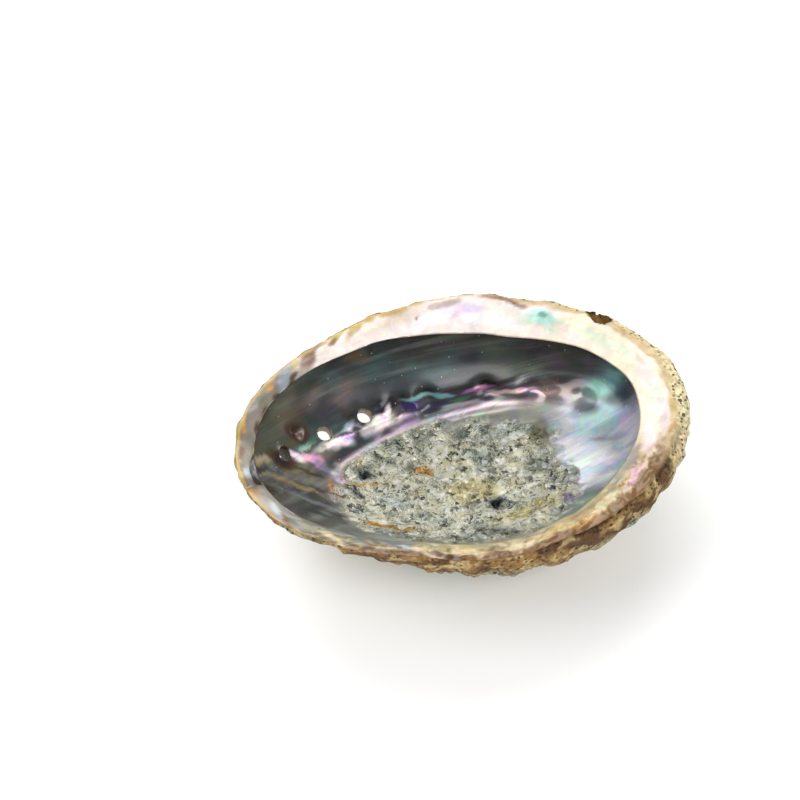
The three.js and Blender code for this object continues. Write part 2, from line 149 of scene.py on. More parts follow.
# On the band the white and silver patches are painted highlights on the knots, and the darkest beside them
# partly painted shade.
BAND = (
    (-13.5, 34, 5, 2.3, 8, "night", 0.97), (0, 36, 8, 1, 4, "aqua", 0.75),
    (8, 35.7, 4, 1, 0, "aqua", 0.8), (24, 36.5, 15, 1.2, -9, "blackish_brown", 0.85),
    (20.5, 35, 7, 1, -4, "magenta", 0.7), (22.5, 35.6, 2.4, 0.8, -4, "rose", 0.7),
    (20, 32, 5, 1.4, -8, "blackish_brown", 0.7), (32, 30.5, 9, 1.1, -16, "blush", 0.6),
    (35, 30, 3, 0.8, -14, "rose", 0.8), (14, 33.5, 5, 1, -4, "green", 0.5),
    (-5, 33, 5, 2, 14, "violet", 0.85), (4, 32, 7, 1.6, 10, "indigo", 0.8),
    (-18, 27, 7, 3.2, 30, "white", 1), (-10, 27.5, 6, 2.1, 22, "white", 1),
    (-14.5, 31, 3.6, 1.1, 62, "white", 0.97), (-22.5, 25, 4, 1.7, 30, "silver", 0.9),
    (-6, 28.5, 5, 1.5, 22, "lilac", 0.85), (-14, 25.5, 6, 1, 26, "indigo", 0.5),
    (-29, 27, 3.6, 1.4, 38, "silver", 0.95), (-27, 30, 2.6, 1, 30, "blackish_brown", 0.7),
    (-24, 28, 3, 1, 30, "indigo", 0.7), (-34, 20.5, 5, 1.9, 8, "white", 0.97),
    (-31, 22.5, 3.4, 1.2, 20, "rose", 0.8), (-37, 18.5, 3, 1, 0, "silver", 0.7),
    (-46, 18.5, 4.6, 1.2, 24, "mint", 0.95), (-43.5, 20, 2.6, 1, 30, "green", 0.8),
    (-50, 14.5, 6.5, 1.6, -8, "white", 1), (-45, 14, 4.6, 1.7, -16, "rose", 0.85),
    (-42, 12, 3.2, 1.2, -24, "lilac", 0.7), (-48, 9.5, 6, 1.1, -20, "umber", 0.8),
    (-48, 22, 4, 3.2, 0, "umber", 0.95), (-48, 22, 1.8, 1.6, 0, "warm", 0.95),
    (-48, 22, 0.8, 0.7, 0, "umber", 0.9), (-56.5, 12, 5, 3, -6, "umber", 0.97),
    (-56.5, 12, 2.6, 1.7, -6, "blackish_brown", 0.95), (-63.5, 9, 4.4, 1.2, 20, "cream", 0.75),
    (-60, 7, 5, 0.9, 8, "moss", 0.7), (-66, 5.5, 6, 1, 16, "blackish_brown", 0.85),
    (-38, 8, 4.5, 3.4, -30, "rose", 0.35), (-40, 11.5, 4, 1.6, -20, "warm", 0.6),
)
# On the scar the silver patches are painted highlights, and the night centres of its pits painted shade
# inside them.
SCAR = (
    (8, -1, 11, 6, -14, "cream", 0.8), (16, 12, 8, 4, 0, "silver", 0.5),
    (20, -16, 11, 3.4, 8, "straw", 0.6), (30, -15, 6, 3, 8, "straw", 0.45),
    (-28, 10, 5, 3, 0, "steel", 0.75), (-28, 10, 2.2, 1.7, 0, "night", 1),
    (-32, 5, 5, 1.2, 22, "ochre", 0.95), (-26, 6, 3, 0.9, 20, "ochre", 0.7),
    (-33.5, 0.5, 4, 1.6, -38, "steel", 0.85), (-33.5, 0.5, 3.8, 0.6, -38, "night", 0.97),
    (-6, 10.5, 3, 2.6, 0, "ochre", 0.85), (-20, -2, 6, 4, 0, "silver", 0.7),
    (-12, -12, 9, 4, 0, "silver", 0.45), (14, -8, 5, 4, 0, "steel", 0.75),
    (14, -8, 2.5, 1.6, 6, "night", 1), (38, 15, 5, 5.5, -30, "olive", 0.85),
    (36.5, -16, 1.6, 2.8, 0, "violet", 0.8), (9, 22, 3, 2, 0, "steel", 0.8),
    (-24, 14, 9, 2, 24, "slate", 0.6), (26, 20, 12, 4, -10, "silver", 0.5),
    (36, 0, 4, 12, 10, "slate", 0.45), (0, -24, 24, 3, 2, "slate", 0.45),
    (54, 15, 5, 2.6, -20, "blackish_brown", 0.45),
)
NEAR_WALL = (
    (-29, -16, 9, 1.7, -18, "ochre", 0.97), (-22, -18.5, 4, 1.9, -6, "ochre", 0.97),
    (-50, -13, 5, 1.1, -12, "petrol", 0.9), (-44, -11, 4, 0.9, -14, "blackish_brown", 0.7),
    (-57, 3, 12, 1.3, -22, "straw", 0.5), (-56, -3, 14, 1.6, -22, "slate", 0.7),
    (-50, -6, 13, 1.2, -18, "steel", 0.5), (-62, -2, 8, 1.2, -24, "olive", 0.5),
    (-47, 1, 9, 1, -14, "blackish_brown", 0.55), (-41, 3, 1.6, 5.5, 12, "ochre", 0.6),
    (-36.5, 12, 1.2, 3, 20, "cream", 0.55), (-30, -23, 14, 2, -10, "slate", 0.55),
    (-10, -28, 16, 2, -2, "olive", 0.5), (14, -28, 12, 2.4, 8, "olive", 0.5),
    (-42, -2, 6, 2.5, -10, "warm", 0.4),
)
# On the right wall the white and silver patches are painted highlights, and the thin dark line along the top
# painted shade under the shelf.
RIGHT_WALL = (
    (39, 35, 7, 2.4, -24, "moss", 0.8), (37, 33.5, 4, 1.5, -6, "silver", 0.5),
    (44, 38, 9, 0.8, -26, "blackish_brown", 0.6), (48, 25, 10, 4, -30, "warm", 0.6),
    (42, 27, 6, 1, -18, "blush", 0.5), (52, 27, 6, 1, -36, "blackish_brown", 0.5),
    (60, 18.5, 4.5, 3, -35, "aqua", 0.7), (65, 17.5, 4, 2.2, -50, "aqua", 0.6),
    (57, 13.5, 3.4, 1.4, -15, "blackish_brown", 0.75), (67, 11, 4, 3.2, -60, "petrol", 0.97),
    (67, 21, 6, 2.2, -55, "teal", 0.6), (59, 7, 6, 4.5, -30, "aqua", 0.65),
    (54.5, 3, 4, 1.1, -16, "slate", 0.9), (60, 0, 3.2, 1, -24, "slate", 0.6),
    (65, 3, 5, 3, 70, "lilac", 0.6), (48, 6, 6, 3, -20, "silver", 0.8),
    (52, -6, 9, 6, -36, "silver", 0.6), (54, -8, 5, 3, -30, "lilac", 0.5),
    (49, -3, 5, 3, -30, "mint", 0.3), (46, -19, 8, 3, -34, "olive", 0.6),
    (41.5, -5, 1, 5, 12, "white", 0.7),
)

# Patches on the shelf: degrees round the dome, share across from the outer edge, half length
# and half width in mm, colour and strength.
SHELF_PATCHES = (
    (83, 0.42, 9, 2.6, "lilac", 0.5), (86, 0.2, 4, 1.4, "warm", 0.6), (92, 0.25, 3, 1.4, "warm", 0.55),
    (96, 0.6, 12, 2.2, "white", 0.7), (70, 0.65, 12, 2.2, "white", 0.6),
    (106, 0.35, 9, 1.6, "cream", 0.4), (101, 0.45, 0.7, 0.6, "brown", 1), (68, 0.1, 8, 1, "brown", 0.7),
    (60, 0.12, 5, 1.1, "brown", 0.7), (50, 0.42, 4.6, 3, "aqua", 0.75), (49.5, 0.4, 1.6, 1, "teal", 0.85),
    (55, 0.5, 5, 2.4, "mint", 0.4), (43, 0.6, 8, 3, "mint", 0.4), (36, 0.75, 7, 2, "blush", 0.6),
    (26, 0.6, 7, 2.6, "mint", 0.4), (14, 0.5, 9, 3, "mint", 0.35), (9, 0.3, 4, 1.1, "brown", 0.35),
    (2, 0.5, 7, 3, "blush", 0.6), (353, 0.5, 9, 2.6, "mint", 0.35), (345, 0.3, 8, 1.6, "rose", 0.4),
    (336, 0.6, 9, 2.4, "blush", 0.7), (325, 0.8, 8, 1.8, "warm", 0.7), (316, 0.45, 8, 1.6, "rose", 0.45),
    (312, 0.8, 9, 1.6, "olive", 0.6), (300, 0.5, 9, 1.8, "cream", 0.7), (292, 0.75, 8, 1.2, "brown", 0.5),
    (286, 0.35, 9, 1.6, "ochre", 0.5), (141, 0.5, 5, 2.4, "brown", 0.85),
    (144, 0.3, 4, 1.4, "straw", 0.8), (137, 0.2, 4, 1, "brown", 0.6), (128, 0.15, 5, 1.2, "straw", 0.9),
    (122, 0.2, 5, 1.3, "straw", 0.8), (131, 0.3, 2.4, 1, "brown", 0.7), (150, 0.6, 7, 2.2, "steel", 0.85),
    (146, 0.9, 4, 1.2, "warm", 0.6), (154, 0.35, 2, 0.9, "ochre", 0.95),
    (158, 0.45, 5, 1.4, "olive", 0.6), (164, 0.55, 8, 2.2, "warm", 0.6), (170, 0.6, 5, 2, "moss", 0.4),
    (168, 0.3, 2, 0.7, "ochre", 0.95), (174, 0.4, 2.6, 1, "brown", 0.95),
    (180, 0.5, 3, 1.4, "silver", 0.7), (150, 1, 4, 0.8, "umber", 0.9), (157, 1, 3, 1.2, "umber", 0.95),
    (162, 1, 2.6, 1.2, "umber", 0.9), (167, 1, 2.6, 1.1, "umber", 0.9), (186, 0.3, 3, 1, "ochre", 0.6),
    (192, 0.5, 5, 1, "silver", 0.7), (197, 0.25, 5, 1.1, "brown", 0.8), (203, 0.6, 9, 1.4, "olive", 0.6),
    (209, 0.3, 6, 1, "cream", 0.8), (213, 0.75, 8, 1.4, "slate", 0.6), (219, 0.35, 5, 1.1, "brown", 0.8),
    (225, 0.7, 7, 1.5, "slate", 0.95), (226, 0.62, 3.4, 0.7, "silver", 0.8),
    (218, 0.85, 3, 0.8, "blackish_brown", 0.7), (234, 0.35, 7, 1.2, "cream", 0.85),
    (240, 0.2, 7, 1.1, "umber", 0.8), (246, 0.5, 6, 1.2, "cream", 0.8), (252, 0.7, 6, 1.2, "olive", 0.7),
    (258, 0.3, 6, 1.2, "brown", 0.7), (264, 0.55, 7, 1.2, "cream", 0.7), (270, 0.8, 7, 1.2, "olive", 0.7),
    (278, 0.3, 6, 1.3, "brown", 0.75), (276, 0.6, 6, 1.1, "straw", 0.7),
)


# Shape


def around(table, angle):
    table = np.asarray(table, float)
    u = (angle / TAU * 12) % 12
    i = np.floor(u).astype(int)
    f = u - i
    a, b, c, d = (table[(i + k) % 12] for k in (-1, 0, 1, 2))
    return b + 0.5 * f * (c - a + f * (2 * a - 5 * b + 4 * c - d + f * (3 * (b - c) + d - a)))


def smooth(value, low, high):
    t = np.clip((value - low) / (high - low), 0, 1)
    return t * t * (3 - 2 * t)


def bell(distance, width):
    return np.exp(-((distance / width) ** 2))


def swelling(swells, angle):
    """The sum of smooth swells round the dome: angle and reach in degrees, how much."""
    return sum(size * bell((np.degrees(angle) - at + 180) % 360 - 180, reach) for at, reach, size in swells)


def band(angle):
    """How wide the shelf is."""
    return SHELF_WIDTH + swelling(SHELF_SWELLS, angle)


def rim(angle):
    """How far out the rim is from the dome's middle."""
    a, b = LENGTH / 2, WIDTH / 2
    square = (np.cos(angle) / a) ** 2 + (np.sin(angle) / b) ** 2
    shift = DOME_X * np.cos(angle) / a**2
    r = (np.sqrt(shift**2 + square * (1 - (DOME_X / a) ** 2)) - shift) / square
    return r + swelling(RIM_SWELLS, angle)


def between(value, low, high, soft):
    """1 between two values, easing out over a soft width at both ends."""
    return smooth(value, low - soft, low + soft) * (1 - smooth(value, high - soft, high + soft))


def under_lip(angle):
    """The stretch at the front of the spire end where the crust stands off below the nacre lip."""
    return smooth(np.cos(angle + 0.96), 0.72, 0.93)


def lumps(p, size):
    k = TAU / size
    x, y, z = p[..., 0], p[..., 1], p[..., 2]
    a = np.sin(k * (x + 0.35 * y) + 0.4) * np.sin(k * (0.95 * y - 0.2 * x) + 1.3)
    b = np.sin(1.7 * k * (0.6 * x - 0.8 * y) + 2.1) * np.sin(1.5 * k * (0.7 * x + 0.7 * y + z))
    return a + 0.5 * b


def rough(p, size, octaves=3, seed=0.0):
    """Fractal noise between about -1 and 1 at points in mm."""
    shift = Vector((seed, 2.3 * seed, -1.7 * seed))
    flat = p.reshape(-1, 3) / size
    out = [noise.fractal(Vector(q) + shift, 0.9, 2.1, octaves) for q in flat]
    return np.array(out).reshape(p.shape[:-1])


def point(angle, r, z):
    wave = 0.7 * np.sin(5 * angle + 0.6) + 0.5 * np.sin(9 * angle + 2) + 0.3 * np.sin(16 * angle)
    return np.stack([DOME_X + r * np.cos(angle), r * np.sin(angle), z + wave * np.exp(z / 8)], -1)


def dish(angle, r, z, pole, curves, reach):
    curve = curves[0] * np.cos(angle) ** 2 + curves[1] * np.sin(angle) ** 2
    share = smooth(r / reach, 0.2, 0.62)
    return point(angle, r, (curve * r * r - pole) * (1 - share) + z * share)


def outside(angle, way):
    rim_at, drop = rim(angle), around(SHOULDER, angle)
    edge = rim_at + around(BULGE, angle)
    t = np.clip(way / OUTER_TURN, 0, 1) * math.pi / 2
    u = np.clip((way - OUTER_TURN) / (1 - OUTER_TURN), 0, 1) * math.pi / 2
    near = point(angle, rim_at + (edge - rim_at) * np.sin(t), -drop * (1 - np.cos(t)))
    z = -drop - (DEPTH - drop) * np.sin(u) ** (2 * around(DOME_FULLNESS, angle))
    far = dish(angle, edge * np.cos(u), z, DEPTH, DOME_CURVE, edge)
    return np.where((way < OUTER_TURN)[..., None], near, far)


def shelf(angle, way):
    r = rim(angle) - band(angle) * way
    return point(angle, r, -around(SHELF_DROP, angle) * np.clip(way, 0, None) ** 1.5)


def inside(angle, way):
    mouth = rim(angle) - band(angle)
    cut, lip = around(UNDERCUT, angle), around(SHELF_DROP, angle)
    lid = 1 + 0.9 * cut
    t = np.clip(way / INNER_TURN, 0, 1) * math.pi / 2
    u = np.clip((way - INNER_TURN) / (1 - INNER_TURN), 0, 1) * math.pi / 2
    near = point(angle, mouth + cut * np.sin(t), -lip - lid * (1 - np.cos(t)))
    z = -lip - lid - (FLOOR - lip - lid) * np.sin(u) ** (2 * around(BOWL_FULLNESS, angle))
    far = dish(angle, (mouth + cut) * np.cos(u), z, FLOOR, BOWL_CURVE, mouth + cut)
    return np.where((way < INNER_TURN)[..., None], near, far)


def coil(p, line):
    """Distance from the spire tip, and signed distance from a spiral line, in mm."""
    d = p - SPIRE
    r = np.linalg.norm(d, axis=-1) + 0.01
    wound = np.log(r / (COIL + OPENING * r)) / COIL
    past = np.arctan2(d @ ALONG, d @ ACROSS) - wound - math.radians(line)
    off = past - TAU * np.round(past / TAU)
    return r, off * r / np.hypot(1, 1 / (COIL + OPENING * r))


def leaning(lean, heading):
    """A direction that leans so many degrees from straight down, towards a heading in the plan."""
    a, b = math.radians(lean), math.radians(heading)
    return np.array((math.sin(a) * math.cos(b), math.sin(a) * math.sin(b), -math.cos(a)))


def on_wall(x, y):
    """The point of the bowl's wall under a place in the plan."""
    angle = np.arctan2(y, x - DOME_X)
    mouth = rim(angle) - band(angle) + around(UNDERCUT, angle)
    share = np.minimum(np.hypot(x - DOME_X, y) / mouth, 1)
    return inside(angle, INNER_TURN + (1 - INNER_TURN) * np.arccos(share) / (math.pi / 2))


def in_row(number):
    """The point of the bowl's wall on the row of holes, counted back from the newest hole."""
    r = NEWEST_HOLE * HOLE_STEP**number
    turn = math.log(r / (COIL + OPENING * r)) / COIL + math.radians(HOLE_ROW)
    out = ACROSS * math.cos(turn) + ALONG * math.sin(turn)
    above, below = -1.2, 0.2
    for _ in range(30):
        dip = (above + below) / 2
        p = SPIRE + r * (out * math.cos(dip) + AXIS * math.sin(dip))
        if p[2] > on_wall(p[0], p[1])[2]:
            above = dip
        else:
            below = dip
    return SPIRE + r * (out * math.cos(above) + AXIS * math.sin(above))


def to_line(p, line):
    best = np.full(p.shape[:-1], 1e9)
    for a, b in zip(line, line[1:]):
        a, b = np.asarray(a, float), np.asarray(b, float)
        t = np.clip(((p - a) @ (b - a)) / ((b - a) @ (b - a)), 0, 1)
        best = np.minimum(best, np.linalg.norm(p - a - t[..., None] * (b - a), axis=-1))
    return best


def seam_path():
    turn = -TAU * SEAM_TURNS * np.linspace(0, 1, 140)
    s = SEAM_START * np.exp(SEAM_SHRINK * turn)
    a = SEAM_ANGLE + turn
    return np.stack([SPIRE[0] + s * np.cos(a), SPIRE[1] + s * np.sin(a)], -1), np.linspace(1, 0.4, 140)


def seam_groove(p):
    path, size = seam_path()
    near = np.hypot(p[..., 0] - SPIRE[0], p[..., 1] - SPIRE[1]) < SEAM_START + 6
    out = np.zeros(p.shape[:-1])
    q = p[near][:, None, :2] - path[None]
    d = np.hypot(q[..., 0], q[..., 1])
    i = d.argmin(1)
    width = SEAM_DEPTH * size[i]
    out[near] = -width * bell(d[np.arange(len(i)), i], 0.8 * width)
    return out


def tube_relief(p):
    out = np.zeros(p.shape[:-1])
    for number, height, foot, lean, heading in OPEN_HOLES + CLOSED_HOLES:
        way = leaning(lean, heading)
        d = p - in_row(number)
        along = d @ way
        side = np.linalg.norm(d - along[..., None] * way, axis=-1)
        slope = 1 - smooth(side, 0.42 * foot, foot)
        cup = -1.6 * (1 - smooth(side, 0.18 * foot, 0.42 * foot))
        out = np.maximum(out, (height * slope + cup * slope) * (along > 0))
    return out


def outer_relief(p, angle, way):
    r, gap = coil(p, HOLE_ROW)
    size = np.minimum(r / 80, 1)
    knob = KNOB_HEIGHT * bell(np.hypot(p[..., 0] - SPIRE[0], p[..., 1] - SPIRE[1]), KNOB_WIDTH)
    ridge = 2.4 * size * bell(gap, 5.5 * size + 0.5) - 1.2 * size * bell(gap - 9 * size, 5 * size + 0.5)
    rest = 1 - bell(np.hypot(p[..., 0] - REST[0], p[..., 1] - REST[1]), REST_REACH)
    low = smooth(-p[..., 2], 2, 9)
    folds = 0.8 * lumps(p, 17) * rest * smooth(r, 14, 34)
    h = (knob + ridge * smooth(r, 8, 30) + folds) * low
    h += tube_relief(p)
    ribs = 0.28 * np.sin(46 * gap / np.maximum(r, 4) * np.hypot(1, 1 / (COIL + OPENING * r)))
    h += ribs * rest * smooth(r, 10, 30) * low
    crust = rough(p, 7, 4, 3.0) * 0.75 + rough(p, 2.4, 2, 9.0) * 0.28
    h = np.maximum(h + crust * rest * smooth(way, 0.0, 0.05), -1.3) + seam_groove(p)
    h -= 1.1 * bell(way - 0.045, 0.02) * under_lip(angle)
    return h


def inner_relief(p):
    ridge_r, ridge_gap = coil(p, RIDGE)
    row_r, row_gap = coil(p, HOLE_ROW)
    pale_r, pale_gap = coil(p, PALE_LINE)
    along = smooth(ridge_r, 38, 56)
    h = 1.6 * bell(ridge_gap, 3) * along * (1 - smooth(ridge_r, 88, 104))
    h -= 1.3 * bell(row_gap - 0.5, 4) * smooth(row_r, 66, 82)
    h += 0.8 * bell(pale_gap, 1.8) * along * (1 - smooth(pale_r, 80, 92))
    for number, height, width in KNOTS:
        h += height * bell(np.linalg.norm(p - in_row(number), axis=-1), width)
    h -= 1.6 * bell(to_line(p, [on_wall(x, y) for x, y in CHANNEL]), 3.6)
    scar = scar_mask(p, pale_gap)
    out = smooth(np.hypot(p[..., 0] - DOME_X, p[..., 1]), 10, 24)
    h += (0.6 * lumps(p, 13) + 0.4 * lumps(p, 7.5) * out + 0.5) * scar
    h += scar * (0.42 * np.abs(rough(p, 3.2, 3, 5.0)) + 0.2 * rough(p, 1.7, 2, 8.0) - 0.15)
    band = bell(ridge_gap + 1, 6) * along
    h += band * 0.3 * rough(p, 3.5, 3, 2.0) * (1 - smooth(p[..., 0], -6, 4))
    for x, y, radius in PITS:
        d = np.hypot(p[..., 0] - x, p[..., 1] - y)
        h -= 1.3 * radius * (1 - smooth(d, 0.35 * radius, 1.15 * radius))
    return h


def scar_mask(p, pale_gap):
    edge = 0.13 * rough(p, 6, 3, 12.0)
    across, along = np.abs(p[..., 1] + 1) / SCAR_REACH[1], np.abs(p[..., 0] - 1) / SCAR_REACH[0]
    scar = (along**SCAR_SQUARENESS + across**SCAR_SQUARENESS) ** (1 / SCAR_SQUARENESS) + edge
    past_line = np.maximum(smooth(pale_gap, -0.5, 2.5), 1 - smooth(p[..., 1], 2, 8))
    return (1 - smooth(scar, 0.88, 1.02)) * past_line


# Mesh

# A groove at the narrow tip, and the number of points round the shell and along each section.
TIP_NOTCH = [(-62, -1, -2), (-69, -4, -1), (-76, -7, 0)]
AROUND = 400
OUTER_ROWS = 62
SHELF_ROWS = 20
INNER_ROWS = 150
INSIDE, ON_SHELF, OUTSIDE = 0.0, 1.0, 2.0


def offset(section, angle, way, amount):
    """Points of a section moved along its own normal."""
    p = section(angle, way)
    step = 0.01
    sideways = section(angle + step, way) - section(angle - step, way)
    down = section(angle, way + step / 4) - section(angle, way - step / 4)
    normal = np.cross(sideways, down)
    normal /= np.linalg.norm(normal, axis=-1, keepdims=True) + 1e-9
    if section is outside:
        normal = -normal
    return p + normal * amount(p)[..., None]


def rim_relief(p, way):
    """The nacre lip is a little rumpled, most at its outer edge."""
    angle = np.arctan2(p[..., 1], p[..., 0] - DOME_X) % TAU
    front = between(np.degrees(angle), 200, 335, 12)
    ledges = 0.7 * smooth(rough(p * np.array((1, 1, 0.2)), 3.4, 4, 33.0) + way, 0.25, 0.4) - 0.5
    h = rough(p, 9, 3, 4.0) * 0.4 + rough(p, 3, 2, 6.0) * 0.35 * (1 - way) + ledges * front
    return h - 1.9 * bell(to_line(p, TIP_NOTCH), 1.7)


def build_grid():
    phi = np.arange(AROUND) * TAU / AROUND
    bands = []
    for section, kind, ways in (
        (outside, OUTSIDE, np.arange(OUTER_ROWS, 0, -1) / (OUTER_ROWS + 0.6)),
        (shelf, ON_SHELF, np.arange(SHELF_ROWS + 1) / SHELF_ROWS),
        (inside, INSIDE, np.arange(1, INNER_ROWS + 1) / (INNER_ROWS + 0.6)),
    ):
        angle, way = np.meshgrid(phi, ways)
        if kind == OUTSIDE:
            p = offset(section, angle, way, lambda q: outer_relief(q, angle, way))
        elif kind == INSIDE:
            p = offset(section, angle, way, inner_relief)
        else:
            p = offset(section, angle, way, lambda q: rim_relief(q, way))
        bands.append((p, np.full(angle.shape, kind), way))
    points = np.concatenate([b[0] for b in bands]).reshape(-1, 3)
    kind = np.concatenate([b[1] for b in bands]).ravel()
    way = np.concatenate([b[2] for b in bands]).ravel()
    rows = len(points) // AROUND
    poles = np.array([points[:AROUND].mean(0), points[-AROUND:].mean(0)])
    points = np.concatenate([points, poles])
    kind = np.concatenate([kind, [OUTSIDE, INSIDE]])
    way = np.concatenate([way, [1.0, 1.0]])
    j, i = np.meshgrid(np.arange(rows - 1), np.arange(AROUND), indexing="ij")
    k = (i + 1) % AROUND
    quads = np.stack([j * AROUND + i, j * AROUND + k, (j + 1) * AROUND + k, (j + 1) * AROUND + i], -1)
    i = np.arange(AROUND)
    k = (i + 1) % AROUND
    first = np.stack([np.full(AROUND, len(points) - 2), k, i], -1)
    end = (rows - 1) * AROUND
    last = np.stack([end + i, end + k, np.full(AROUND, len(points) - 1)], -1)
    faces = quads.reshape(-1, 4).tolist() + first.tolist() + last.tolist()
    return points, kind, way, faces


TO_ROW = DOWN.rotation_difference(Vector((0, 0, -1))).to_matrix()


def to_row(points):
    """From the rim's frame in mm to the part's frame in metres, with the flat spot at z = 0."""
    out = (points - np.array(REST)) @ np.array(TO_ROW).T * MM
    out[:, 2] = np.maximum(out[:, 2], 0)
    return out


def mesh_object(name, points, faces):
    mesh = bpy.data.meshes.new(name)
    mesh.from_pydata(points.tolist(), [], faces)
    mesh.validate()
    obj = bpy.data.objects.new(name, mesh)
    bpy.context.scene.collection.objects.link(obj)
    return obj


def turned(name, profile, sides, base, direction):
    """A round body from [radius, height] pairs that starts and ends on its axis."""
    turn = np.array(Vector((0, 0, 1)).rotation_difference(Vector(direction)).to_matrix())
    a = np.arange(sides) * TAU / sides
    rings = [np.stack([r * np.cos(a), r * np.sin(a), np.full(sides, z)], -1) for r, z in profile[1:-1]]
    ends = np.array([[0, 0, profile[0][1]], [0, 0, profile[-1][1]]], float)
    points = np.concatenate(rings + [ends]) @ turn.T + base
    n = len(profile) - 2
    faces = []
    for i in range(sides):
        k = (i + 1) % sides
        faces.append([n * sides, k, i])
        faces.append([(n - 1) * sides + i, (n - 1) * sides + k, n * sides + 1])
        for j in range(n - 1):
            faces.append([j * sides + i, j * sides + k, (j + 1) * sides + k, (j + 1) * sides + i])
    row = (points - np.array(REST)) @ np.array(TO_ROW).T * MM
    return mesh_object(name, row, faces)


CHIP_RUN = np.array((math.sin(CHIP_ANGLE), -math.cos(CHIP_ANGLE), 0))
CHIP = point(CHIP_ANGLE, rim(CHIP_ANGLE) + 1, -2)
CHIP_SEED = 5

# The ragged surface of the chip: how far its points move, in metres, and waves per metre.
CHIP_COARSE = (0.0011, 420)
CHIP_FINE = (0.0004, 1500)

# A point of the cut mesh is an old one where one stood this near, in metres.
SAME_PLACE = 2e-7


def cutters():
    out = []
    r = HOLE_BORE
    bore = [(0, -9), (r * 1.5, -9), (r * 1.5, -3.2), (r * 1.16, -1.6), (r, -0.2), (r * 0.97, 2)]
    bore += [(r * 1.05, 5), (r * 1.25, 18), (0, 18)]
    for number, _, _, lean, heading in OPEN_HOLES:
        out.append(turned(f"bore_{number}", bore, 40, in_row(number), leaning(lean, heading)))
    steps = np.linspace(0, math.pi, 17)
    spindle = [(0.5 * CHIP_WIDTH * math.sin(t), -0.5 * CHIP_LENGTH * math.cos(t)) for t in steps]
    chip = turned("chip_cutter", spindle, 28, CHIP, CHIP_RUN)
    noise.seed_set(CHIP_SEED)
    for v in chip.data.vertices:
        for reach, waves in (CHIP_COARSE, CHIP_FINE):
            v.co += Vector([reach * c for c in noise.noise_vector(v.co * waves)])
    out.append(chip)
    return out


def cut(obj, tools):
    for tool in tools:
        modifier = obj.modifiers.new(tool.name, "BOOLEAN")
        modifier.operation = "DIFFERENCE"
        modifier.solver = "MANIFOLD"
        modifier.object = tool
    graph = bpy.context.evaluated_depsgraph_get()
    mesh = bpy.data.meshes.new_from_object(obj.evaluated_get(graph))
    obj.modifiers.clear()
    old = obj.data
    obj.data = mesh
    bpy.data.meshes.remove(old)
    for tool in tools:
        data = tool.data
        bpy.data.objects.remove(tool)
        bpy.data.meshes.remove(data)


def vertex_places(mesh):
    flat = np.empty(len(mesh.vertices) * 3)
    mesh.vertices.foreach_get("co", flat)
    return flat.reshape(-1, 3)


def match(new, old):
    """The old vertex at each new one's place, or the nearest, and whether a cut made the new one."""
    tree = KDTree(len(old))
    for i, place in enumerate(old):
        tree.insert(place, i)
    tree.balance()
    nearest = [tree.find(place) for place in new]
    made = np.array([found[2] > SAME_PLACE for found in nearest])
    return np.array([found[1] for found in nearest]), made


points, kind, way, faces = build_grid()
shell = mesh_object("abalone_shell", to_row(points), faces)
before = vertex_places(shell.data)
cut(shell, cutters())
nearest, made = match(vertex_places(shell.data), before)
kind, way = kind[nearest], way[nearest]


# Colour of each region, painted on the points


def colour(text):
    """Linear red, green and blue of an sRGB hex colour."""
    c = np.array([int(text[i : i + 2], 16) / 255 for i in (0, 2, 4)])
    return np.where(c <= 0.04045, c / 12.92, ((c + 0.055) / 1.055) ** 2.4)


def mix(base, text, share):
    return base + (colour(text) - base) * np.clip(share, 0, 1)[:, None]


def patches(base, x, y, marks, crisp=True):
    for cx, cy, length, width, tilt, name, strength in marks:
        c, s = math.cos(math.radians(tilt)), math.sin(math.radians(tilt))
        u = ((x - cx) * c + (y - cy) * s) / length
        v = ((y - cy) * c - (x - cx) * s) / width
        away = np.hypot(u, v)
        cover = 1 - smooth(away, 0.55, 1.2) if crisp else bell(away, 1.0)
        base = mix(base, PALETTE[name], strength * cover)
    return base


def shelf_patches():
    """The shelf's patches as places in the plan, lying along the rim."""
    for degrees, way, length, width, name, strength in SHELF_PATCHES:
        x, y, _ = shelf(math.radians(degrees), np.float64(way))
        yield x, y, length, width, degrees + 90, name, strength


